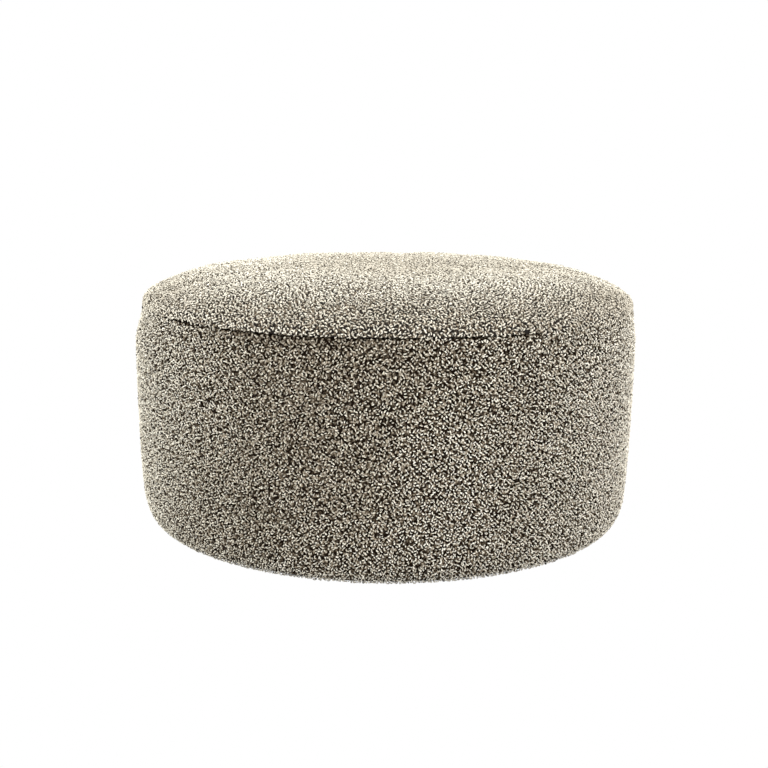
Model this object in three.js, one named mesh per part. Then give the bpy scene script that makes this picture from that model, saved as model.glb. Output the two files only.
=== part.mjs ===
// A round upholstered pouf in two-tone boucle: a crowned top panel, a side band that closes round the drum and
// turns under at the floor, and a plain base panel set inside the turned-under edge. Each piece is one solid
// that holds its share of the filling. Millimetres, +Z up, the floor at z = 0, the axis on Z, the front at -Y.
import * as THREE from "three";

// Driving dimensions
const SEAM_RADIUS = 392; // where the top panel is sewn to the band
const SEAM_HEIGHT = 341;
const CROWN_RISE = 60; // from the seam to the middle of the top
const CROWN_FLATNESS = 4.2; // the higher, the flatter the middle of the crown
const CROWN_SHOULDER = 0.556; // the lower, the steeper the crown starts at the seam

const WALL_BULGE = 8; // how far the wall's belly stands past the seam
const SEAM_PULL_HEIGHT = 58; // the stretch of wall that the seam draws in
const FOOT_DRAW_IN = 4.5; // how much less the wall stands out just above the rounded foot
const FOOT_HEIGHT = 52; // the soft round at the floor
const FOOT_DEPTH = 23;

const DITCH_DEPTH = 3; // the groove in which the seam lies
const DITCH_HALF_HEIGHT = 6;

const BASE_PANEL_RADIUS = 342;
const BASE_PANEL_THICKNESS = 2;
const PIECE_GAP = 0.3;

// How the filling sits unevenly. An angle turns from +X towards +Y.
const SEAM_SHIFT = 2.5; // the seam, and the crown with it, is pulled towards +X
const CROWN_SLOPE = 0.005; // the crown is higher at +X
const SEAM_WAVES = [
  { lobes: 3, height: 0.7, angle: 0.9 },
  { lobes: 7, height: 0.5, angle: 2.1 },
];
const WALL_WAVES = [
  { lobes: 2, height: 0.8, angle: 0.4 },
  { lobes: 6, height: 0.6, angle: 0.2 },
];

// How finely the surfaces are divided
const SIDES = 96;
const CROWN_RINGS = 13;
const WALL_RINGS = 12;
const FOOT_RINGS = 6;
const DITCH_RINGS = 3;
const FLAT_RINGS = 3;

const BOUCLE = new THREE.MeshStandardMaterial({ color: 0x9a9283, roughness: 0.95, metalness: 0 });
const BASE_CLOTH = new THREE.MeshStandardMaterial({ color: 0x2e2a26, roughness: 0.9, metalness: 0 });

const smoothstep = (share) => {
  const t = THREE.MathUtils.clamp(share, 0, 1);
  return t * t * (3 - 2 * t);
};

// How far the groove at the seam cuts in, at a height above or below it.
function ditch(fromSeam) {
  const share = Math.max(0, 1 - Math.abs(fromSeam) / DITCH_HALF_HEIGHT);
  return DITCH_DEPTH * share * share;
}

// The crown's height above the seam at a share of the seam's radius, and the other way round.
const crownRise = (share) => CROWN_RISE * (1 - share ** CROWN_FLATNESS) ** CROWN_SHOULDER;
const crownShare = (rise) => (1 - (rise / CROWN_RISE) ** (1 / CROWN_SHOULDER)) ** (1 / CROWN_FLATNESS);

function crownPoint(share) {
  const rise = crownRise(share);
  return new THREE.Vector2(SEAM_RADIUS * share - ditch(rise), SEAM_HEIGHT + rise);
}

function wallPoint(height) {
  const wallHeight = SEAM_HEIGHT - FOOT_HEIGHT;
  const toSeam = (SEAM_HEIGHT - height) / wallHeight;
  const belly = WALL_BULGE - FOOT_DRAW_IN * toSeam ** 4;
  const pull = smoothstep((SEAM_HEIGHT - height) / SEAM_PULL_HEIGHT);
  return new THREE.Vector2(SEAM_RADIUS + belly * pull - ditch(SEAM_HEIGHT - height), height);
}

function footPoint(angle) {
  const outer = wallPoint(FOOT_HEIGHT).x;
  return new THREE.Vector2(outer - FOOT_DEPTH * (1 - Math.cos(angle)), FOOT_HEIGHT * (1 - Math.sin(angle)));
}

const shares = (count) => Array.from({ length: count + 1 }, (_, i) => i / count);

// Points straight in from a rim to the axis, at the rim's height, without the rim itself.
function flatToAxis(rim) {
  return shares(FLAT_RINGS)
    .slice(1)
    .map((share) => new THREE.Vector2(rim.x * (1 - share), rim.y));
}

// A sum of cosines round the axis.
function waves(table, angle) {
  return table.reduce((sum, wave) => sum + wave.height * Math.cos(wave.lobes * (angle - wave.angle)), 0);
}

// Moves a point of the even body to where the filling puts it. The floor, and what lies near it, stays flat.
function settle(point) {
  const radius = Math.hypot(point.x, point.y);
  const angle = Math.atan2(point.y, point.x);
  const height = point.z;
  const aboveFoot = smoothstep((height - FOOT_HEIGHT / 2) / FOOT_HEIGHT);
  const belowSeam = smoothstep((SEAM_HEIGHT - height) / SEAM_PULL_HEIGHT);
  const outwards = smoothstep(radius / SEAM_RADIUS);
  const out = waves(WALL_WAVES, angle) * aboveFoot * belowSeam * outwards;
  const crown = smoothstep((height - SEAM_HEIGHT) / CROWN_RISE);
  const lift = waves(SEAM_WAVES, angle) * aboveFoot * outwards + CROWN_SLOPE * point.x * crown;
  const shift = SEAM_SHIFT * (1 - belowSeam);
  const scale = radius > 0 ? (radius + out) / radius : 1;
  return new THREE.Vector3(point.x * scale + shift, point.y * scale, height + lift);
}

// Turns a profile, listed from the bottom's middle outwards and up to the top's middle, into a solid.
function turned(profile) {
  const geometry = new THREE.LatheGeometry(profile, SIDES);
  geometry.rotateX(Math.PI / 2);
  const places = geometry.getAttribute("position");
  const point = new THREE.Vector3();
  for (let i = 0; i < places.count; i += 1) {
    point.fromBufferAttribute(places, i);
    places.setXYZ(i, ...settle(point));
  }
  geometry.computeVertexNormals();
  return geometry;
}

function topPanel() {
  // The rings crowd towards the rim, where the crown is steep, and once more inside the groove.
  const ditchShare = crownShare(DITCH_HALF_HEIGHT);
  const edge = shares(DITCH_RINGS).map((share) =>
    crownPoint(crownShare(THREE.MathUtils.lerp(PIECE_GAP / 2, DITCH_HALF_HEIGHT, share))),
  );
  const crown = shares(CROWN_RINGS).map((share) => crownPoint(ditchShare * Math.cos((share * Math.PI) / 2)));
  return turned([...flatToAxis(edge[0]).reverse(), ...edge, ...crown.slice(1)]);
}

function sideBand() {
  const topHeight = SEAM_HEIGHT - PIECE_GAP / 2;
  const recessRadius = BASE_PANEL_RADIUS + PIECE_GAP;
  const recessHeight = BASE_PANEL_THICKNESS + PIECE_GAP;
  const recessRim = new THREE.Vector2(recessRadius, recessHeight);
  const recess = [...flatToAxis(recessRim).reverse(), recessRim, new THREE.Vector2(recessRadius, 0)];
  const foot = shares(FOOT_RINGS).map((share) => footPoint(((1 - share) * Math.PI) / 2));
  const ditchFoot = SEAM_HEIGHT - DITCH_HALF_HEIGHT;
  const wall = shares(WALL_RINGS).map((share) => wallPoint(THREE.MathUtils.lerp(FOOT_HEIGHT, ditchFoot, share)));
  const edge = shares(DITCH_RINGS).map((share) => wallPoint(THREE.MathUtils.lerp(ditchFoot, topHeight, share)));
  const rim = edge[DITCH_RINGS];
  return turned([...recess, ...foot, ...wall.slice(1), ...edge.slice(1), ...flatToAxis(rim)]);
}

function basePanel() {
  const lower = new THREE.Vector2(BASE_PANEL_RADIUS, 0);
  const upper = new THREE.Vector2(BASE_PANEL_RADIUS, BASE_PANEL_THICKNESS);
  return turned([...flatToAxis(lower).reverse(), lower, upper, ...flatToAxis(upper)]);
}

function piece(name, geometry, material) {
  const mesh = new THREE.Mesh(geometry, material);
  mesh.name = name;
  return mesh;
}

const pouf = new THREE.Group();
pouf.add(
  piece("top_panel", topPanel(), BOUCLE),
  piece("side_band", sideBand(), BOUCLE),
  piece("base_panel", basePanel(), BASE_CLOTH),
);

export default pouf;
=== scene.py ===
"""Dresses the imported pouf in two-tone boucle: ground cloth, standing curls, seams, lights and camera.

Metres, +Z up, the axis on Z, the front at -Y. An angle is in radians and turns from +X towards +Y. Where a
comment says degrees from the front, they are positive towards the right.
"""

import math

import bpy
import numpy as np
from mathutils import Matrix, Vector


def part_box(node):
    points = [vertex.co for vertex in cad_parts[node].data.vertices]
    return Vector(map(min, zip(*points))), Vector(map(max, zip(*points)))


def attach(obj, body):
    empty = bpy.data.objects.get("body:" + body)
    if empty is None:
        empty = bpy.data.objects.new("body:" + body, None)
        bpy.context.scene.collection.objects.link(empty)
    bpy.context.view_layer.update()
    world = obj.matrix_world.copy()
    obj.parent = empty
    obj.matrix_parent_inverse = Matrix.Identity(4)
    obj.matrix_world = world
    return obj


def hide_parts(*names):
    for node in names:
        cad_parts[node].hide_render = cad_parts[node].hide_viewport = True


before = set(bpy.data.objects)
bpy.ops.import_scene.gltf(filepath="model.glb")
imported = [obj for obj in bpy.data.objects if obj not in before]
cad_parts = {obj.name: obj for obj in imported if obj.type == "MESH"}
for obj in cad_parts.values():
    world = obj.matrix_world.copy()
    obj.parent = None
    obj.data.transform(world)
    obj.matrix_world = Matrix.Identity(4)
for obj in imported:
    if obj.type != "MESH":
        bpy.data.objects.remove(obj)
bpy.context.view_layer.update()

# The body's form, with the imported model's own sizes
SEAM_RADIUS = 0.392  # where the top panel is sewn to the band
SEAM_HEIGHT = 0.341
CROWN_RISE = 0.060  # from the seam to the middle of the top
CROWN_FLATNESS = 4.2  # the higher, the flatter the middle of the crown
CROWN_SHOULDER = 0.556  # the lower, the steeper the crown starts at the seam
WALL_BULGE = 0.008  # how far the wall's belly stands past the seam
SEAM_PULL_HEIGHT = 0.058  # the stretch of wall that the seam draws in
FOOT_DRAW_IN = 0.0045  # how much less the wall stands out just above the rounded foot
FOOT_DRAW_POWER = 4  # the higher, the lower on the wall this starts
FOOT_HEIGHT = 0.052  # the soft round at the floor
FOOT_DEPTH = 0.023
DITCH_DEPTH = 0.003  # the groove in which the seam lies
DITCH_HALF_HEIGHT = 0.006
PIECE_GAP = 0.0003
BASE_PANEL_RADIUS = (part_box("base_panel")[1][0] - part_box("base_panel")[0][0]) / 2
BASE_PANEL_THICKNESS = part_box("base_panel")[1][2]
SEAM_SHIFT = 0.0025  # the seam, and the crown with it, is pulled towards +X
CROWN_SLOPE = 0.005  # the crown is higher at +X
SEAM_WAVES = ((3, 0.0007, 0.9), (7, 0.0005, 2.1))  # waves round the axis, height, angle of a crest
WALL_WAVES = ((2, 0.0008, 0.4), (6, 0.0006, 0.2))

# Soft forms that the cover has besides
LIP_ROLL = 0.0040  # the turned-in edge of the cloth makes the crown's rim stand out above the seam
LIP_HEIGHT = 0.018
LIP_HALF_HEIGHT = 0.015
FLAT_SHOULDER_DEPTH = 0.0045  # the crown's left shoulder is a little flatter
FLAT_SHOULDER_ANGLE = (-85, 60)  # its middle and half width, in degrees from the front
FLAT_SHOULDER_PLACE = (0.043, 0.034)  # its middle and half width, along the cloth from the seam
SPOT_STEEPNESS = 1.5  # at 1.5, a soft spot is level over its middle third

# The seams, with angles in degrees from the front
SEAM_BARE = 0.0010  # half the strip along the open seam that has no curls, on the average
BARE_SPREAD = (0, 2)  # how that varies from curl to curl, as shares of it
SEAM_CLOSED = 0.30  # how far the pile closes over the seam on the average, from 0 to 1
SEAM_CLOSING_WAVES = ((23, 0.12, 0.5), (61, 0.16, 2.0), (113, 0.20, 4.0), (263, 0.30, 1.0))
SEAM_CLOSINGS = (
    # angle, half width, how much more it closes there
    (-72, 20, 0.85),
    (-46, 10, -0.32),
    (-28, 8, -0.30),
    (-3, 9, -0.30),
    (9, 3, 0.40),
    (16, 6, -0.10),
    (24, 5, 0.15),
    (48, 21, 2.40),
    (125, 50, -0.25),
)
PINCH_ANGLE = 28.3  # where the seam pulls the pile into a small pit
PINCH_RADIUS = 0.0042  # no curls stand inside it
PINCH_REACH = 2.25 * PINCH_RADIUS  # where the pit's slope ends
PINCH_DEPTH = 0.0035
CLOSING_SEAM_ANGLE = 180  # the band's two ends are sewn together at the back
CLOSING_SEAM_BARE = 0.0009  # half the strip along it that has no curls
CLOSING_DITCH_DEPTH = 0.0020
CLOSING_DITCH_HALF_WIDTH = 0.007
CLOSING_DITCH_START = 0.020  # it is at its full depth this far below the top seam

# How finely the outlines and the ground cloth are divided
CROWN_STEPS = 400
WALL_STEPS = 600
FOOT_STEPS = 200
UNDER_STEPS = 6
FRAME_REACH = 0.0008  # how far from a place the directions of the surface are measured
POLE_RADIUS = 0.002  # nearer the axis, a turn is measured as at this radius
CLOTH_COLUMNS = 216
CROWN_ROWS = 40
WALL_ROWS = 60
INNER_RINGS = (0.985, 0.6, 0.2)  # of the faces inside the pouf, as shares of their rim's radius
RECESS_RINGS = (1.0, 0.5)  # of the face over the base panel, in the same way

# The cover as it is filled: cloth that is held at the seam and under the foot, and pressed from inside
COVER_COLUMNS = 180
COVER_PITCH = 0.012
COVER_END_HEIGHT = 0.0001  # of its edge under the foot
COVER_UNEVEN = 0.0003  # how far its points are scattered before it is filled
COVER_PRESSURE = 4
COVER_STIFFNESS = 80
COVER_QUALITY = 6
COVER_FRAMES = 20
COVER_SEED = 7
RELIEF_SHARE = 0.40  # how much of the unevenness that comes of it is kept
RELIEF_CAP = 0.0016

# The boucle
PILE_DEPTH = 0.0026  # how far the ground cloth lies under the body's surface
PILE_FLOOR = 0.0004  # the lowest that the curls reach
TOP_PARTS = 2  # meshes that the curls are joined in
SIDE_PARTS = 4
CURL_COUNT = 77_000  # for the whole body, if all had the wall's size and no seam were bare
TOP_CURL_SIZE = 1.12  # the top's loops lie looser than the wall's
CURL_LENGTH = (0.0036, 0.0066)
CURL_RADIUS = (0.00078, 0.00120)
CURL_HEIGHT = (0.0012, 0.0028)
HIGHEST_CURL = CURL_HEIGHT[1] + CURL_RADIUS[1]
CURL_TURN = math.radians(200)  # the most that a curl winds over its length
CURL_JITTER = 0.18  # as a share of the curls' spacing
CURL_ROUNDNESS = 0.8  # below 1, a curl rises more steeply and is flatter on top
CURL_UNEVEN = 0.00025  # how much the heights along it vary
CURL_ROOT = 0.0012  # how deep its ends reach into the ground cloth
CURL_TAPER = 0.3  # the higher, the thinner it is near its ends
CURL_THICKNESS = (0.85, 1.15)  # how its thickness varies
CURL_RINGS = 2
CURL_SIDES = 3
CURL_NODES = CURL_RINGS + 2
CURL_POINTS = CURL_RINGS * CURL_SIDES + 2
CURL_ARCH = np.sin(np.linspace(0, 1, CURL_NODES) * np.pi)
CELL_MARGIN = 0.1  # round each curl in the bake map, as a share of its cell
GOLDEN_HALF_TURNS = 3 - math.sqrt(5)  # the golden angle
SEED = 20

# The curls' tones, from 0 for the darkest to 1 for the lightest
TONE_RANGE = (0.53, 0.95)  # of the light ones
TONE_LIMITS = (0.3, 1.0)  # of the light ones once they are mottled and given painted light and shade
DARK_SHARE = 0.10
DARK_TONE = 0.25  # of the lightest dark one
TOP_TONE = 0.67  # the top's tones are drawn towards this one
TOP_EVENING = 0.52  # how far they are, from 0 to 1
TONE_PATCH = 0.012  # a square of this size has the whole range of tones
PATCHES_PER_ROW = 10_000  # more than any row has
MOTTLE_WAVES = ((5, 0.015, 0.3), (11, 0.012, 1.4))
MOTTLE_FADE = 0.1  # the waves fade out over this distance towards the seam
# Painted light and shade: patches of lighter and darker tone stand in for how the light falls, such as
# shade on the shoulders, shadows at the seam, a highlight on the crown's rim and light from the floor.
PAINTED_LIGHT_AND_SHADE_PATCHES = (
    # degrees from the front, distance below the seam, half width in degrees, half height, change of tone
    (0, -0.42, 400, 0.24, -0.18),
    (0, -0.15, 150, 0.10, 0.14),
    (95, -0.16, 45, 0.10, -0.16),
    (0, -0.035, 60, 0.04, -0.07),
    (-28, -0.06, 32, 0.08, 0.09),
    (44, -0.03, 34, 0.06, -0.07),
    # painted shade on the crown's two shoulders
    (68, -0.035, 18, 0.05, -0.22),
    (-68, -0.06, 18, 0.06, -0.10),
    # painted shadows along the seam near the outline at both sides
    (79, -0.004, 8, 0.018, -0.34),
    (-78, -0.004, 7, 0.018, -0.34),
    # a painted highlight on the crown's rim just above the seam
    (-12, -0.008, 52, 0.010, 0.22),
    # painted shade under the crown's rim, just below the seam
    (-20, 0.006, 28, 0.012, -0.18),
    (0, 0.03, 12, 0.04, -0.06),
    (31, 0.05, 10, 0.06, -0.05),
    (-20, 0.09, 16, 0.14, -0.08),
    (-14, 0.12, 34, 0.28, -0.08),
    (12, 0.20, 15, 0.13, 0.12),
    (-38, 0.26, 22, 0.14, -0.06),
    (-24, 0.27, 12, 0.06, -0.09),
    # painted light low on the front, as the floor throws it up
    (-2, 0.30, 38, 0.07, 0.08),
)

# The surfaces of the yarn, the ground cloth and the base panel's cloth
CURL_COLOURS = (
    # tone, colour
    (0.0, (0.018, 0.0115, 0.007)),
    (0.25, (0.09, 0.068, 0.045)),
    (0.55, (0.50, 0.452, 0.367)),
    (0.8, (0.735, 0.69, 0.59)),
    (1.0, (0.82, 0.785, 0.70)),
)
ROOT_SHADE = 0.25  # painted shade: how light a curl's root is against its crest, where the curls around shade it
CREST_LIFT = 0.55  # from this share of the greatest height on, a curl has its full colour
YARN_FINISH = {"Roughness": 0.95, "Specular IOR Level": 0.1, "Sheen Weight": 0.03, "Sheen Roughness": 0.5}
FIBRE_GRAIN = {"Scale": 1800, "Detail": 1}
FIBRE_BUMP = {"Strength": 0.5, "Distance": 0.0003}
GROUND_COLOURS = (
    # nub's tone, colour, share of the painted light that is added
    (0.05, (0.008, 0.005, 0.003), 1),
    (0.35, (0.045, 0.034, 0.022), 1),
    (0.60, (0.20, 0.16, 0.115), 0),
    (1.00, (0.42, 0.37, 0.29), 0),
)
TOP_GAP_PAINTED_LIGHT = 0.012  # painted light: how much lighter the top's gaps are made, as the light from above reaches into them
NUB_PITCH = 0.0042
NUB_EDGES = {"From Min": 0.75, "From Max": 0.15}  # of its foot and its flat top, as shares of the pitch
NUB_DARKEST = 0.45  # the darkest nub's tone against the lightest's
NUB_BEND = 0.004  # how far the nubs' places are bent out of their pattern at most
BEND_GRAIN = {"Scale": 260}
NUB_BUMP = {"Strength": 1.0, "Distance": 0.0012}
GROUND_FINISH = {"Roughness": 1.0, "Specular IOR Level": 0.0}
BASE_COLOURS = ((0.0, (0.018, 0.015, 0.013)), (1.0, (0.05, 0.043, 0.037)))
THREAD_PITCH = 0.0016  # of every second thread
THREAD_BUMP = {"Distance": 0.0003}
BASE_FINISH = {"Roughness": 0.9}

# The camera
CAMERA_PLACE = (-0.0026, -1.820, 0.5829)
CAMERA_PITCH = 0.2072  # how far it looks down
CAMERA_ROLL = 0.0096
FOCAL_PIXELS = 1123.3
PICTURE_PIXELS = 768
SENSOR_WIDTH = 36.0  # millimetres

# The light and the floor
WHITE = (1, 1, 1)
SUNS = (
    # name, degrees from the front, elevation, strength, soft angle, colour
    ("overhead", 0, 86, 3.7, 80, WHITE),
    ("right_rim", 118, 27, 2.64, 50, WHITE),
    ("left_rim", -118, 32, 2.32, 50, (0.95, 1, 0.93)),
    ("low_front", 30, 2, 0.40, 60, WHITE),
)
WORLD_LIGHT = 0.80  # how bright the white all round is as a light, where 1 is its look as a backdrop
FLOOR_HALF_SIZE = 30
FLOOR_FINISH = {"Base Color": (0.93, 0.93, 0.93, 1), "Roughness": 0.8}

rng = np.random.default_rng(SEED)


# The body's form


def smoothstep(share):
    t = np.clip(share, 0, 1)
    return t * t * (3 - 2 * t)


def soft_spot(place, middle, half_width):
    """One round the middle, falling softly to zero at the half width."""
    return smoothstep(SPOT_STEEPNESS * (1 - np.abs(place - middle) / half_width))


def ditch(from_seam):
    """How far the groove at the seam cuts in."""
    return DITCH_DEPTH * np.maximum(0, 1 - np.abs(from_seam) / DITCH_HALF_HEIGHT) ** 2


def waves(table, angle):
    """A sum of cosines round the axis."""
    return sum(height * np.cos(lobes * (angle - crest)) for lobes, height, crest in table)


def unit(vectors):
    return vectors / np.linalg.norm(vectors, axis=-1, keepdims=True)


def degrees_from_front(angle):
    """Turns an angle into degrees from the front, from -180 to 180."""
    return np.degrees((angle + 1.5 * math.pi) % math.tau - math.pi)


def seam_closed(angle):
    """How far the pile closes over the top seam, from 0 to 1."""
    front = degrees_from_front(angle)
    closed = SEAM_CLOSED + waves(SEAM_CLOSING_WAVES, angle)
    for middle, half_width, share in SEAM_CLOSINGS:
        closed = closed + share * soft_spot(front, middle, half_width)
    return np.clip(closed, 0, 1)


def from_closing_seam(angle):
    """Distance round the axis from the seam that closes the band."""
    turn = (degrees_from_front(angle) - CLOSING_SEAM_ANGLE + 180) % 360 - 180
    return np.abs(np.radians(turn)) * SEAM_RADIUS


def from_pinch(from_seam, angle):
    """Distance from the middle of the pit in the seam."""
    return np.hypot(from_seam, np.radians(degrees_from_front(angle) - PINCH_ANGLE) * SEAM_RADIUS)


def crown_outline():
    """Radius and height from the middle of the top to the seam."""
    share = np.sin(np.linspace(0, np.pi / 2, CROWN_STEPS))
    rise = CROWN_RISE * (1 - share**CROWN_FLATNESS) ** CROWN_SHOULDER
    lip = LIP_ROLL * smoothstep(1 - np.abs(rise - LIP_HEIGHT) / LIP_HALF_HEIGHT)
    return SEAM_RADIUS * share - ditch(rise) + lip, SEAM_HEIGHT + rise


def wall_outline():
    """Radius and height from the seam down the wall and round the foot to the base panel's rim."""
    height = np.linspace(SEAM_HEIGHT, FOOT_HEIGHT, WALL_STEPS)
    below_seam = SEAM_HEIGHT - height
    to_foot = below_seam / (SEAM_HEIGHT - FOOT_HEIGHT)
    belly = WALL_BULGE - FOOT_DRAW_IN * to_foot**FOOT_DRAW_POWER
    radius = SEAM_RADIUS + belly * smoothstep(below_seam / SEAM_PULL_HEIGHT) - ditch(below_seam)
    turn = np.linspace(0, np.pi / 2, FOOT_STEPS)[1:]
    foot_radius = radius[-1] - FOOT_DEPTH * (1 - np.cos(turn))
    foot_height = FOOT_HEIGHT * (1 - np.sin(turn))
    under = np.linspace(foot_radius[-1], BASE_PANEL_RADIUS + PIECE_GAP, UNDER_STEPS)[1:]
    return np.concatenate([radius, foot_radius, under]), np.concatenate([height, foot_height, 0 * under])


def settle(radius, angle, height):
    """Where the uneven filling puts a point of the even body, as a row of three columns."""
    above_foot = smoothstep((height - FOOT_HEIGHT / 2) / FOOT_HEIGHT)
    below_seam = smoothstep((SEAM_HEIGHT - height) / SEAM_PULL_HEIGHT)
    outwards = smoothstep(radius / SEAM_RADIUS)
    out = waves(WALL_WAVES, angle) * above_foot * below_seam * outwards
    crown_share = smoothstep((height - SEAM_HEIGHT) / CROWN_RISE)
    x = (radius + out) * np.cos(angle)
    y = (radius + out) * np.sin(angle)
    lift = waves(SEAM_WAVES, angle) * above_foot * outwards + CROWN_SLOPE * x * crown_share
    return np.stack([x + SEAM_SHIFT * (1 - below_seam), y, height + lift], -1)


class Relief:
    """How far the filled cover stands out, on rings at given distances and evenly spread columns."""

    def __init__(self, distances, out):
        self.distances, self.out = distances, out

    def at(self, distance, angle):
        """At a place between the grid's points, a blend of the four nearest."""
        rings, columns = self.out.shape
        row = np.interp(distance, self.distances, np.arange(rings))
        column = angle / math.tau * columns
        low_row = np.minimum(row.astype(int), rings - 2)
        low_column = np.floor(column).astype(int)
        across, down = column - low_column, row - low_row
        left, right = low_column % columns, (low_column + 1) % columns
        low = self.out[low_row, left] * (1 - across) + self.out[low_row, right] * across
        high = self.out[low_row + 1, left] * (1 - across) + self.out[low_row + 1, right] * across
        return low * (1 - down) + high * down


class Turned:
    """A surface of the body, addressed by the distance along its outline and the angle round the axis."""

    def __init__(self, radius, height, seam_end, flat_shoulder, closing_ditch):
        step = np.hypot(np.diff(radius), np.diff(height))
        self.radius, self.height = radius, height
        self.distance = np.concatenate([[0], np.cumsum(step)])
        ring_area = math.tau * (radius[1:] + radius[:-1]) / 2 * step
        self.area = np.concatenate([[0], np.cumsum(ring_area)])
        self.length = self.distance[-1]
        self.seam_distance = self.length if seam_end else 0.0
        self.out_radius = -np.gradient(height, self.distance)
        self.out_height = np.gradient(radius, self.distance)
        self.flat_shoulder, self.closing_ditch = flat_shoulder, closing_ditch
        self.relief = None

    def from_seam(self, distance):
        return np.abs(distance - self.seam_distance)

    def at(self, distance, angle):
        """The points at some places, with the seams and the filling's unevenness worked in."""
        radius = np.interp(distance, self.distance, self.radius)
        height = np.interp(distance, self.distance, self.height)
        from_seam = self.from_seam(distance)
        radius = radius + ditch(height - SEAM_HEIGHT) * seam_closed(angle)
        radius = radius - PINCH_DEPTH * soft_spot(from_pinch(from_seam, angle), 0, PINCH_REACH)
        flatter = soft_spot(degrees_from_front(angle), *FLAT_SHOULDER_ANGLE)
        flatter = flatter * soft_spot(from_seam, *FLAT_SHOULDER_PLACE)
        radius = radius - self.flat_shoulder * flatter
        closing = np.maximum(0, 1 - from_closing_seam(angle) / CLOSING_DITCH_HALF_WIDTH) ** 2
        radius = radius - self.closing_ditch * closing * smoothstep(from_seam / CLOSING_DITCH_START)
        if self.relief:
            out = self.relief.at(distance, angle)
            radius = radius + out * np.interp(distance, self.distance, self.out_radius)
            height = height + out * np.interp(distance, self.distance, self.out_height)
        return settle(radius, angle, height)

    def frames(self, distance, angle):
        """Each place's point, outward normal, and unit vectors along the outline and round the axis."""
        along = unit(self.at(distance + FRAME_REACH, angle) - self.at(distance - FRAME_REACH, angle))
        turn = FRAME_REACH / np.maximum(np.interp(distance, self.distance, self.radius), POLE_RADIUS)
        around = unit(self.at(distance, angle + turn) - self.at(distance, angle - turn))
        return self.at(distance, angle), unit(np.cross(along, around)), along, around

    def ring(self, distance, columns):
        """The points and outward normals of a ring of evenly spread points."""
        angles = np.linspace(0, math.tau, columns, endpoint=False)
        return self.frames(np.full(columns, distance), angles)[:2]


crown = Turned(*crown_outline(), seam_end=True, flat_shoulder=FLAT_SHOULDER_DEPTH, closing_ditch=0)
wall = Turned(*wall_outline(), seam_end=False, flat_shoulder=0, closing_ditch=CLOSING_DITCH_DEPTH)


def crown_middle():
    """The top's middle point."""
    return crown.at(np.array([0.0]), np.array([0.0]))[0]


def wall_distance(height):
    """How far along the wall's outline a height lies."""
    return np.interp(-height, -wall.height, wall.distance)


# Meshes


def mesh_from(name, points, corners, sizes, material):
    """A smooth mesh from its points, the corners of all faces in a row, and the faces' corner counts."""
    mesh = bpy.data.meshes.new(name)
    mesh.vertices.add(len(points))
    mesh.vertices.foreach_set("co", points.astype(np.float32).ravel())
    mesh.loops.add(len(corners))
    mesh.loops.foreach_set("vertex_index", corners.astype(np.int32))
    mesh.polygons.add(len(sizes))
    starts = np.concatenate([[0], np.cumsum(sizes)[:-1]])
    mesh.polygons.foreach_set("loop_start", starts.astype(np.int32))
    mesh.polygons.foreach_set("use_smooth", np.ones(len(sizes), bool))
    mesh.update(calc_edges=True)
    mesh.validate()
    if material:
        mesh.materials.append(material)
    piece = bpy.data.objects.new(name, mesh)
    bpy.context.scene.collection.objects.link(piece)
    return piece


def ring_piece(name, rings, first_pole, last_pole, material):
    """A closed piece from rings of equally many points, with a pole at each end."""
    count, columns = len(rings), len(rings[0])
    points = np.concatenate([[first_pole], *rings, [last_pole]])
    here = np.arange(columns)
    after = (here + 1) % columns
    quads = []
    for row in range(count - 1):
        low, high = 1 + row * columns, 1 + (row + 1) * columns
        quads.append(np.stack([low + here, high + here, high + after, low + after], 1))
    quads = np.concatenate(quads)
    last = len(points) - 1
    first_cap = np.stack([np.zeros(columns, int), 1 + here, 1 + after], 1)
    last_cap = np.stack([np.full(columns, last), last - columns + after, last - columns + here], 1)
    corners = np.concatenate([quads.ravel(), first_cap.ravel(), last_cap.ravel()])
    sizes = np.concatenate([np.full(len(quads), 4), np.full(2 * columns, 3)])
    return mesh_from(name, points, corners, sizes, material)


# The ground cloth


def ground_ring(surface, distance):
    """A ring of the ground cloth, which lies under the curls."""
    point, normal = surface.ring(distance, CLOTH_COLUMNS)
    return point - normal * PILE_DEPTH


def flat_ring(ring, share, height):
    """A ring drawn in towards the axis, at one height."""
    inner = ring * share
    inner[:, 2] = height
    return inner


def top_cloth(material):
    """The top panel's ground cloth, with rings that crowd towards the seam, and a flat underside."""
    distances = crown.length * np.sin(np.linspace(0, 1, CROWN_ROWS) * np.pi / 2)
    rings = [ground_ring(crown, distance) for distance in distances[1:]]
    rim = rings[-1]
    underside = SEAM_HEIGHT + PIECE_GAP
    rim[:, 2] = np.maximum(rim[:, 2], underside)
    rings += [flat_ring(rim, share, underside) for share in INNER_RINGS]
    pole = crown_middle() - [0, 0, PILE_DEPTH]
    return ring_piece("top_cloth", rings, pole, [0, 0, underside], material)


def side_cloth(material):
    """The band's ground cloth, with rings that crowd towards the seam, a flat top and the base's recess."""
    distances = wall.length * (1 - np.cos(np.linspace(0, 1, WALL_ROWS) * np.pi / 2))
    rings = [ground_ring(wall, distance) for distance in distances]
    for ring in rings:
        ring[:, 2] = np.maximum(ring[:, 2], 0.0)
    topside = SEAM_HEIGHT - PIECE_GAP
    rim, edge = rings[0], rings[-1]
    rim[:, 2] = np.minimum(rim[:, 2], topside)
    top = [flat_ring(rim, share, topside) for share in reversed(INNER_RINGS)]
    recess = BASE_PANEL_THICKNESS + PIECE_GAP
    under = [flat_ring(edge, share, recess) for share in RECESS_RINGS]
    return ring_piece("side_cloth", [*top, *rings, *under], [0, 0, topside], [0, 0, recess], material)


# The filled cover


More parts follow.
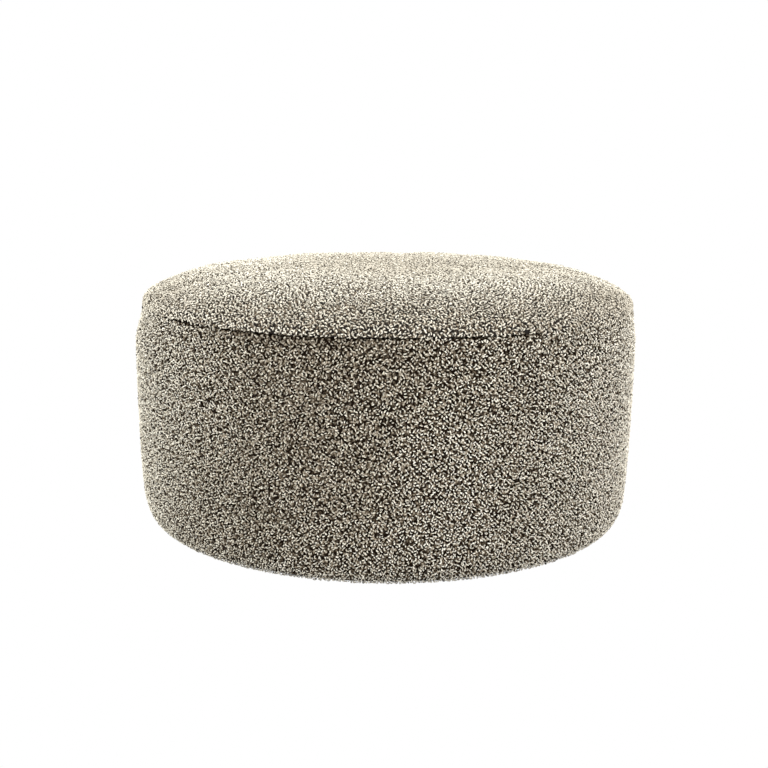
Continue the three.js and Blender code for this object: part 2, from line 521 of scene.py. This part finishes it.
def add_cloth(cover, held):
    """Makes the cover weightless cloth that is held at some of its points and pressed from inside."""
    group = cover.vertex_groups.new(name="held")
    group.add(held, 1.0, "REPLACE")
    cloth = cover.modifiers.new("cloth", "CLOTH")
    cloth.settings.quality = COVER_QUALITY
    cloth.settings.tension_stiffness = COVER_STIFFNESS
    cloth.settings.compression_stiffness = COVER_STIFFNESS
    cloth.settings.vertex_group_mass = group.name
    cloth.settings.use_pressure = True
    cloth.settings.uniform_pressure_force = COVER_PRESSURE
    cloth.settings.effector_weights.gravity = 0
    cloth.collision_settings.use_collision = False
    cloth.point_cache.frame_start = 1
    cloth.point_cache.frame_end = COVER_FRAMES


def simulated(cover):
    """Steps the simulation and gives the places of the cover's points at its end."""
    scene = bpy.context.scene
    for number in range(1, COVER_FRAMES + 1):
        scene.frame_set(number)
    result = bpy.data.meshes.new_from_object(cover.evaluated_get(bpy.context.evaluated_depsgraph_get()))
    places = np.empty(len(result.vertices) * 3, np.float32)
    result.vertices.foreach_get("co", places)
    bpy.data.meshes.remove(result)
    scene.frame_set(1)
    return places.reshape(-1, 3)


def softened(out):
    """Evens a grid out a little between neighbours, round the axis and along the outline."""
    out = (np.roll(out, 1, 1) + 2 * out + np.roll(out, -1, 1)) / 4
    out[1:-1] = (out[:-2] + 2 * out[1:-1] + out[2:]) / 4
    return out


def cover_rows(length):
    """Distances of the cover's rings along an outline, without its start."""
    return np.linspace(0, length, round(length / COVER_PITCH) + 1)[1:]


def fill_cover():
    """Fills the cover by simulation and gives the crown and the wall the unevenness that comes of it.

    The rings' mean swelling is left out, because the form already has it.
    """
    crown_rows = cover_rows(crown.length)
    wall_rows = cover_rows(wall_distance(COVER_END_HEIGHT))
    rings = [crown.ring(distance, COVER_COLUMNS) for distance in crown_rows]
    rings += [wall.ring(distance, COVER_COLUMNS) for distance in wall_rows]
    start = np.array([point for point, _ in rings])
    normal = np.array([normal for _, normal in rings])
    held_rows = [len(crown_rows) - 1, len(rings) - 1]
    uneven = np.random.default_rng(COVER_SEED).normal(0, COVER_UNEVEN, start.shape)
    uneven[held_rows] = 0
    cover = ring_piece("cover", list(start + uneven), crown_middle(), [0, 0, 0], None)
    held = [len(cover.data.vertices) - 1]
    for row in held_rows:
        held += range(1 + row * COVER_COLUMNS, 1 + (row + 1) * COVER_COLUMNS)
    add_cloth(cover, held)
    moved = simulated(cover)[1:-1].reshape(start.shape) - start
    bpy.data.meshes.remove(cover.data)
    out = (moved * normal).sum(2)
    out = softened(out - out.mean(1, keepdims=True))
    out = np.clip(RELIEF_SHARE * out, -RELIEF_CAP, RELIEF_CAP)
    out[held_rows] = 0
    crown_out, wall_out = np.split(out, [len(crown_rows)])
    even = np.zeros((1, COVER_COLUMNS))
    crown.relief = Relief(np.concatenate([[0], crown_rows]), np.concatenate([even, crown_out]))
    wall.relief = Relief(np.concatenate([[0], wall_rows]), np.concatenate([even, wall_out]))


# The curls


def curl_faces():
    """Corners and face sizes of one curl: a tip, rings of points and another tip."""
    first, last = 0, CURL_POINTS - 1
    corners, sizes = [], []
    for side in range(CURL_SIDES):
        after = (side + 1) % CURL_SIDES
        corners += [first, 1 + after, 1 + side]
        sizes.append(3)
    for ring in range(CURL_RINGS - 1):
        low, high = 1 + ring * CURL_SIDES, 1 + (ring + 1) * CURL_SIDES
        for side in range(CURL_SIDES):
            after = (side + 1) % CURL_SIDES
            corners += [low + side, low + after, high + after, high + side]
            sizes.append(4)
    low = 1 + (CURL_RINGS - 1) * CURL_SIDES
    for side in range(CURL_SIDES):
        after = (side + 1) % CURL_SIDES
        corners += [last, low + side, low + after]
        sizes.append(3)
    return np.array(corners), np.array(sizes)


def curl_layout():
    """Each face corner's place in the unit square: across for the length, up for the side of the curl."""
    corners, sizes = curl_faces()
    places = []
    start = 0
    for number, size in enumerate(sizes):
        side = number % CURL_SIDES
        for corner in corners[start : start + size]:
            if corner == 0:
                places.append((0.0, (side + 0.5) / CURL_SIDES))
            elif corner == CURL_POINTS - 1:
                places.append((1.0, (side + 0.5) / CURL_SIDES))
            else:
                ring = (corner - 1) // CURL_SIDES
                turned = ((corner - 1) % CURL_SIDES - side) % CURL_SIDES
                places.append(((ring + 1) / (CURL_RINGS + 1), (side + min(turned, 1)) / CURL_SIDES))
        start += size
    return np.array(places)


def scatter(surface, count, end):
    """Places up to a distance, spread evenly by the golden angle, then jittered a little."""
    full = np.interp(end, surface.distance, surface.area)
    distance = np.interp(full * (np.arange(count) + 0.5) / count, surface.area, surface.distance)
    spacing = math.sqrt(full / count)
    angle = np.arange(count) * math.pi * GOLDEN_HALF_TURNS
    radius = np.maximum(np.interp(distance, surface.distance, surface.radius), spacing)
    distance = distance + rng.normal(0, CURL_JITTER, count) * spacing
    angle = angle + rng.normal(0, CURL_JITTER, count) * spacing / radius
    keep = (distance > 0) & (distance < end)
    return distance[keep], angle[keep] % math.tau


def curl_paths(size, point, normal, along, around):
    """Each curl's nodes, which wind and arch over the ground cloth, their rise, and the curl's radius."""
    count = len(point)
    length = rng.uniform(*CURL_LENGTH, count) * size
    radius = rng.uniform(*CURL_RADIUS, count) * size
    height = rng.uniform(*CURL_HEIGHT, count)
    turn = rng.uniform(-CURL_TURN, CURL_TURN, count)
    heading = rng.uniform(0, math.tau, count)
    share = np.linspace(0, 1, CURL_NODES)
    middle = (share[1:] + share[:-1]) / 2
    angles = heading[:, None] + turn[:, None] * (middle - 0.5)[None, :]
    steps = length[:, None] / (CURL_NODES - 1)
    flat = np.zeros((count, CURL_NODES, 2))
    flat[:, 1:, 0] = np.cumsum(np.cos(angles) * steps, 1)
    flat[:, 1:, 1] = np.cumsum(np.sin(angles) * steps, 1)
    flat -= flat.mean(1, keepdims=True)
    rise = height[:, None] * CURL_ARCH[None, :] ** CURL_ROUNDNESS
    rise += rng.normal(0, CURL_UNEVEN, (count, CURL_NODES))
    rise[:, [0, -1]] -= CURL_ROOT
    path = (
        point[:, None, :]
        + flat[..., :1] * along[:, None, :]
        + flat[..., 1:] * around[:, None, :]
        + (rise - PILE_DEPTH)[..., None] * normal[:, None, :]
    )
    return path, rise, radius


def curl_points(size, point, normal, along, around):
    """Every curl's points, one block of CURL_POINTS each, and how high each point stands, from 0 to 1."""
    path, rise, radius = curl_paths(size, point, normal, along, around)
    count = len(path)
    blocks = np.empty((count, CURL_POINTS, 3))
    lift = np.empty((count, CURL_POINTS))
    blocks[:, 0], blocks[:, -1] = path[:, 0], path[:, -1]
    lift[:, 0] = lift[:, -1] = 0
    roll = rng.uniform(0, math.tau / CURL_SIDES, count)
    for ring in range(CURL_RINGS):
        tangent = unit(path[:, ring + 2] - path[:, ring])
        sideways = unit(np.cross(normal, tangent))
        upright = np.cross(tangent, sideways)
        thick = radius * CURL_ARCH[ring + 1] ** CURL_TAPER * rng.uniform(*CURL_THICKNESS, count)
        for side in range(CURL_SIDES):
            spin = roll + side * math.tau / CURL_SIDES
            offset = np.cos(spin)[:, None] * sideways + np.sin(spin)[:, None] * upright
            number = 1 + ring * CURL_SIDES + side
            blocks[:, number] = path[:, ring + 1] + offset * thick[:, None]
            lift[:, number] = (rise[:, ring + 1] + np.sin(spin) * thick) / HIGHEST_CURL
    return blocks, np.clip(lift, 0, 1)


def spread_ranks(surface, distance, angle):
    """Each curl's rank, from 0 to 1, among the curls of its own small patch of cloth."""
    row = (distance / TONE_PATCH).astype(int)
    radius = np.interp((row + 0.5) * TONE_PATCH, surface.distance, surface.radius)
    columns = (angle * radius / TONE_PATCH).astype(int)
    patch = row * PATCHES_PER_ROW + columns
    order = np.lexsort((rng.random(len(patch)), patch))
    _, first, count = np.unique(patch[order], return_index=True, return_counts=True)
    place = np.arange(len(patch)) - np.repeat(first, count)
    rank = np.empty(len(patch))
    rank[order] = (place + rng.random(len(patch))) / np.repeat(count, count)
    return rank


def curl_tones(surface, distance, angle):
    """Light curls of many tones with some dark ones, evenly spread, a slow mottle, and patches of painted
    light and shade.
    """
    rank = spread_ranks(surface, distance, angle)
    light = np.clip((rank - DARK_SHARE) / (1 - DARK_SHARE), 0, 1)
    tone = TONE_RANGE[0] + (TONE_RANGE[1] - TONE_RANGE[0]) * light
    front = degrees_from_front(angle)
    below = distance - surface.seam_distance
    tone = tone + waves(MOTTLE_WAVES, angle) * smoothstep(np.abs(below) / MOTTLE_FADE)
    # Painted light and shade, in patches
    for middle, level, half_width, half_height, change in PAINTED_LIGHT_AND_SHADE_PATCHES:
        tone = tone + change * soft_spot(front, middle, half_width) * soft_spot(below, level, half_height)
    tone = np.where(rank < DARK_SHARE, DARK_TONE * rank / DARK_SHARE, np.clip(tone, *TONE_LIMITS))
    if surface is crown:
        tone = tone + (TOP_TONE - tone) * TOP_EVENING
    return tone


def grow_curls(surface, count, end, size):
    """Each curl's angle, points, lifts and tone, up to a distance on a surface, clear of the seams."""
    distance, angle = scatter(surface, count, end)
    from_seam = surface.from_seam(distance)
    bare = SEAM_BARE * (1 - seam_closed(angle)) * rng.uniform(*BARE_SPREAD, len(angle))
    keep = (from_seam > bare) & (from_pinch(from_seam, angle) > PINCH_RADIUS)
    if surface is wall:
        keep &= from_closing_seam(angle) > CLOSING_SEAM_BARE
    distance, angle = distance[keep], angle[keep]
    tone = curl_tones(surface, distance, angle)
    blocks, lift = curl_points(size, *surface.frames(distance, angle))
    blocks[..., 2] = np.maximum(blocks[..., 2], PILE_FLOOR)
    return angle, blocks, lift, tone


def pile_piece(name, blocks, lift, tone, material):
    """One mesh that joins many curls, with a bake map that gives each curl a cell of its own."""
    count = len(blocks)
    corners, sizes = curl_faces()
    all_corners = (corners[None, :] + np.arange(count)[:, None] * CURL_POINTS).ravel()
    piece = mesh_from(name, blocks.reshape(-1, 3), all_corners, np.tile(sizes, count), material)
    mesh = piece.data
    for label, values in (("lift", lift.ravel()), ("tone", np.repeat(tone, CURL_POINTS))):
        layer = mesh.attributes.new(label, "FLOAT", "POINT")
        layer.data.foreach_set("value", values.astype(np.float32))
    cells = math.ceil(math.sqrt(count))
    cell = np.stack([np.arange(count) % cells, np.arange(count) // cells], 1)
    inside = CELL_MARGIN + (1 - 2 * CELL_MARGIN) * curl_layout()
    uv = (cell[:, None, :] + inside[None, :, :]) / cells
    layer = mesh.uv_layers.new(name="OFBake")
    layer.uv.foreach_set("vector", uv.reshape(-1).astype(np.float32))
    return piece


def pile(material):
    """The curls on the top and on the side, each joined in a few meshes by their sectors round the axis."""
    foot_end = wall_distance(PILE_FLOOR)
    crown_area = crown.area[-1]
    wall_area = np.interp(foot_end, wall.distance, wall.area)
    per_area = CURL_COUNT / (crown_area + wall_area)
    pieces = []
    for name, surface, area, end, parts, size in (
        ("top", crown, crown_area, crown.length, TOP_PARTS, TOP_CURL_SIZE),
        ("side", wall, wall_area, foot_end, SIDE_PARTS, 1),
    ):
        angle, blocks, lift, tone = grow_curls(surface, int(area * per_area / size**2), end, size)
        sector = (angle / math.tau * parts).astype(int) % parts
        for part in range(parts):
            mine = sector == part
            label = f"pile_{name}_{part + 1}"
            pieces.append(pile_piece(label, blocks[mine], lift[mine], tone[mine], material))
    return pieces


# Materials


def set_inputs(node, values):
    for socket, value in values.items():
        node.inputs[socket].default_value = value


def add_node(nodes, kind, values=None, **settings):
    """A new node with its settings, and with fixed values at some of its inputs."""
    node = nodes.new(f"ShaderNode{kind}")
    for setting, value in settings.items():
        setattr(node, setting, value)
    set_inputs(node, values or {})
    return node


def add_ramp(nodes, stops):
    node = add_node(nodes, "ValToRGB")
    elements = node.color_ramp.elements
    while len(elements) < len(stops):
        elements.new(0.5)
    for element, (place, colour) in zip(elements, stops):
        element.position = place
        element.color = (*colour, 1)
    return node


def new_material(name, finish):
    """A material with the finish set on its shader, its nodes and links, and the shader."""
    material = bpy.data.materials.new(name)
    material.use_nodes = True
    nodes = material.node_tree.nodes
    shader = nodes["Principled BSDF"]
    set_inputs(shader, finish)
    return material, nodes, material.node_tree.links, shader


def add_bump(nodes, links, height, values, shader):
    """Lets a height bend the shader's normal."""
    bump = add_node(nodes, "Bump", values)
    links.new(height, bump.inputs["Height"])
    links.new(bump.outputs["Normal"], shader.inputs["Normal"])


def curl_material():
    """Yarn that takes its colour from the curl's tone, with painted shade that darkens it towards the
    curl's roots.
    """
    material, nodes, links, shader = new_material("boucle_curls", YARN_FINISH)
    tone = add_node(nodes, "Attribute", attribute_name="tone")
    colours = add_ramp(nodes, CURL_COLOURS)
    links.new(tone.outputs["Fac"], colours.inputs["Fac"])
    # Painted shade: the colour darkens towards each curl's roots, where the pile shades them.
    lift = add_node(nodes, "Attribute", attribute_name="lift")
    root = add_node(nodes, "MapRange", {"From Max": CREST_LIFT, "To Min": ROOT_SHADE})
    links.new(lift.outputs["Fac"], root.inputs["Value"])
    shade = add_node(nodes, "Mix", {"Factor": 1.0}, data_type="RGBA", blend_type="MULTIPLY")
    links.new(colours.outputs["Color"], shade.inputs["A"])
    links.new(root.outputs["Result"], shade.inputs["B"])
    links.new(shade.outputs["Result"], shader.inputs["Base Color"])
    fibres = add_node(nodes, "TexNoise", FIBRE_GRAIN)
    places = add_node(nodes, "TexCoord")
    links.new(places.outputs["Object"], fibres.inputs["Vector"])
    add_bump(nodes, links, fibres.outputs["Fac"], FIBRE_BUMP, shader)
    return material


def ground_material(name, painted_light):
    """The cloth between the curls: low taupe nubs and almost black gaps, whose darker tones are lightened
    by painted light on the top's copy.
    """
    material, nodes, links, shader = new_material(name, GROUND_FINISH)
    places = add_node(nodes, "TexCoord")
    grain = add_node(nodes, "TexNoise", BEND_GRAIN)
    links.new(places.outputs["Object"], grain.inputs["Vector"])
    bend = add_node(nodes, "VectorMath", {1: (NUB_BEND, NUB_BEND, NUB_BEND)}, operation="MULTIPLY_ADD")
    links.new(grain.outputs["Color"], bend.inputs[0])
    links.new(places.outputs["Object"], bend.inputs[2])
    nubs = add_node(nodes, "TexVoronoi", {"Scale": 1 / NUB_PITCH})
    links.new(bend.outputs["Vector"], nubs.inputs["Vector"])
    height = add_node(nodes, "MapRange", NUB_EDGES, interpolation_type="SMOOTHSTEP")
    links.new(nubs.outputs["Distance"], height.inputs["Value"])
    cell = add_node(nodes, "SeparateColor")
    links.new(nubs.outputs["Color"], cell.inputs["Color"])
    own_tone = add_node(nodes, "MapRange", {"To Min": NUB_DARKEST})
    links.new(cell.outputs["Red"], own_tone.inputs["Value"])
    tone = add_node(nodes, "Math", operation="MULTIPLY")
    links.new(height.outputs["Result"], tone.inputs[0])
    links.new(own_tone.outputs["Result"], tone.inputs[1])
    # Painted light: the dark stops are lightened on the top's copy of the cloth.
    stops = [(place, [part + share * painted_light for part in colour]) for place, colour, share in GROUND_COLOURS]
    colours = add_ramp(nodes, stops)
    links.new(tone.outputs["Value"], colours.inputs["Fac"])
    links.new(colours.outputs["Color"], shader.inputs["Base Color"])
    add_bump(nodes, links, height.outputs["Result"], NUB_BUMP, shader)
    return material


def base_material():
    """Plain dark cloth, woven of threads along X and Y."""
    material, nodes, links, shader = new_material("base_cloth", BASE_FINISH)
    places = add_node(nodes, "TexCoord")
    split = add_node(nodes, "SeparateXYZ")
    links.new(places.outputs["Object"], split.inputs["Vector"])
    weave = add_node(nodes, "Math", operation="MULTIPLY")
    for number, axis in enumerate("XY"):
        scaled = add_node(nodes, "Math", {1: math.tau / THREAD_PITCH}, operation="MULTIPLY")
        links.new(split.outputs[axis], scaled.inputs[0])
        threads = add_node(nodes, "Math", operation="SINE")
        links.new(scaled.outputs["Value"], threads.inputs[0])
        links.new(threads.outputs["Value"], weave.inputs[number])
    shade = add_node(nodes, "MapRange", {"From Min": -1})
    links.new(weave.outputs["Value"], shade.inputs["Value"])
    colours = add_ramp(nodes, BASE_COLOURS)
    links.new(shade.outputs["Result"], colours.inputs["Fac"])
    links.new(colours.outputs["Color"], shader.inputs["Base Color"])
    add_bump(nodes, links, shade.outputs["Result"], THREAD_BUMP, shader)
    return material


def floor_material():
    """A lit white table: it looks as white as the backdrop, and throws the light of the lamps back up."""
    material, nodes, links, shader = new_material("floor", FLOOR_FINISH)
    glow = add_node(nodes, "Emission")
    seen = add_node(nodes, "LightPath")
    mix = add_node(nodes, "MixShader")
    links.new(seen.outputs["Is Camera Ray"], mix.inputs["Fac"])
    links.new(shader.outputs["BSDF"], mix.inputs[1])
    links.new(glow.outputs["Emission"], mix.inputs[2])
    links.new(mix.outputs["Shader"], nodes["Material Output"].inputs["Surface"])
    return material


# Camera, lights and floor


def add_camera():
    data = bpy.data.cameras.new("camera")
    data.sensor_width = SENSOR_WIDTH
    data.lens = FOCAL_PIXELS * SENSOR_WIDTH / PICTURE_PIXELS
    camera = bpy.data.objects.new("camera", data)
    turn = Matrix.Rotation(math.pi / 2 - CAMERA_PITCH, 4, "X") @ Matrix.Rotation(CAMERA_ROLL, 4, "Z")
    camera.matrix_world = Matrix.Translation(CAMERA_PLACE) @ turn
    bpy.context.scene.collection.objects.link(camera)
    bpy.context.scene.camera = camera


def add_sun(name, azimuth, elevation, strength, softness, colour):
    data = bpy.data.lights.new(name, "SUN")
    data.energy = strength
    data.color = colour
    data.angle = math.radians(softness)
    light = bpy.data.objects.new(name, data)
    light.rotation_euler = (math.radians(90 - elevation), 0, math.radians(azimuth))
    bpy.context.scene.collection.objects.link(light)


def add_world():
    """An even studio white all round that is dimmer as a light than it looks as a backdrop."""
    world = bpy.data.worlds.new("studio")
    world.use_nodes = True
    nodes, links = world.node_tree.nodes, world.node_tree.links
    seen = add_node(nodes, "LightPath")
    strength = add_node(nodes, "MapRange", {"To Min": WORLD_LIGHT})
    links.new(seen.outputs["Is Camera Ray"], strength.inputs["Value"])
    set_inputs(nodes["Background"], {"Color": (*WHITE, 1)})
    links.new(strength.outputs["Result"], nodes["Background"].inputs["Strength"])
    bpy.context.scene.world = world


def add_floor():
    edge = FLOOR_HALF_SIZE
    points = np.array([[-edge, -edge, 0], [edge, -edge, 0], [edge, edge, 0], [-edge, edge, 0]], float)
    floor = mesh_from("floor", points, np.arange(4), np.array([4]), floor_material())


# The scene

add_camera()
add_world()
add_floor()
for sun in SUNS:
    add_sun(*sun)
bpy.context.scene.view_settings.view_transform = "Standard"

fill_cover()

boucle_curls = curl_material()
# The top's ground cloth is a lighter copy, with painted light in its gaps.
top = top_cloth(ground_material("boucle_ground_top_painted_light", painted_light=TOP_GAP_PAINTED_LIGHT))
side = side_cloth(ground_material("boucle_ground_side", painted_light=0))
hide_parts("top_panel")
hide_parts("side_band")
for cloth in (top, side):
    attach(cloth, "root")
for piece in pile(boucle_curls):
    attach(piece, "root")

base_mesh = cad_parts["base_panel"].data
base_mesh.materials.clear()
base_mesh.materials.append(base_material())
